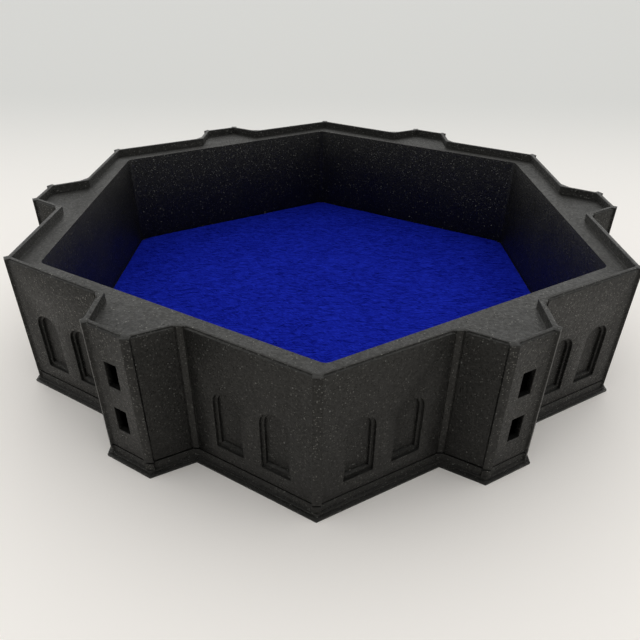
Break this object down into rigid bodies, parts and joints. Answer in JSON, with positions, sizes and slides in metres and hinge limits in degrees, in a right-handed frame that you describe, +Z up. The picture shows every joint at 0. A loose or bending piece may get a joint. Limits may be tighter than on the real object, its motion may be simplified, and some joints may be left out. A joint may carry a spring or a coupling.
{
  "type": "dice tray",
  "caption": "Rigid hexagonal dice tray: high walls with arched blind windows, a windowed bay on each side, ledge with thin parapet, stepped foot and felt-lined floor.",
  "frame": {"origin": "centre of the flat underside", "axes": "+Z up out of the tray; two of the six hexagon corners lie on the Y axis and two of the six bays face along the X axis"},
  "size_m": [0.2376, 0.245, 0.051],
  "materials": {
    "printed_plastic": "charcoal glitter filament, satin, with fine layer lines and small bright specks",
    "felt": "royal blue craft felt with short matted fibres",
    "adhesive": "thin double-sided adhesive film"
  },
  "bodies": {
    "root": {"base_plate": "printed_plastic", "wall_ring": "printed_plastic", "felt_mat": "felt", "felt_adhesive": "adhesive"}
  },
  "joints": []
}
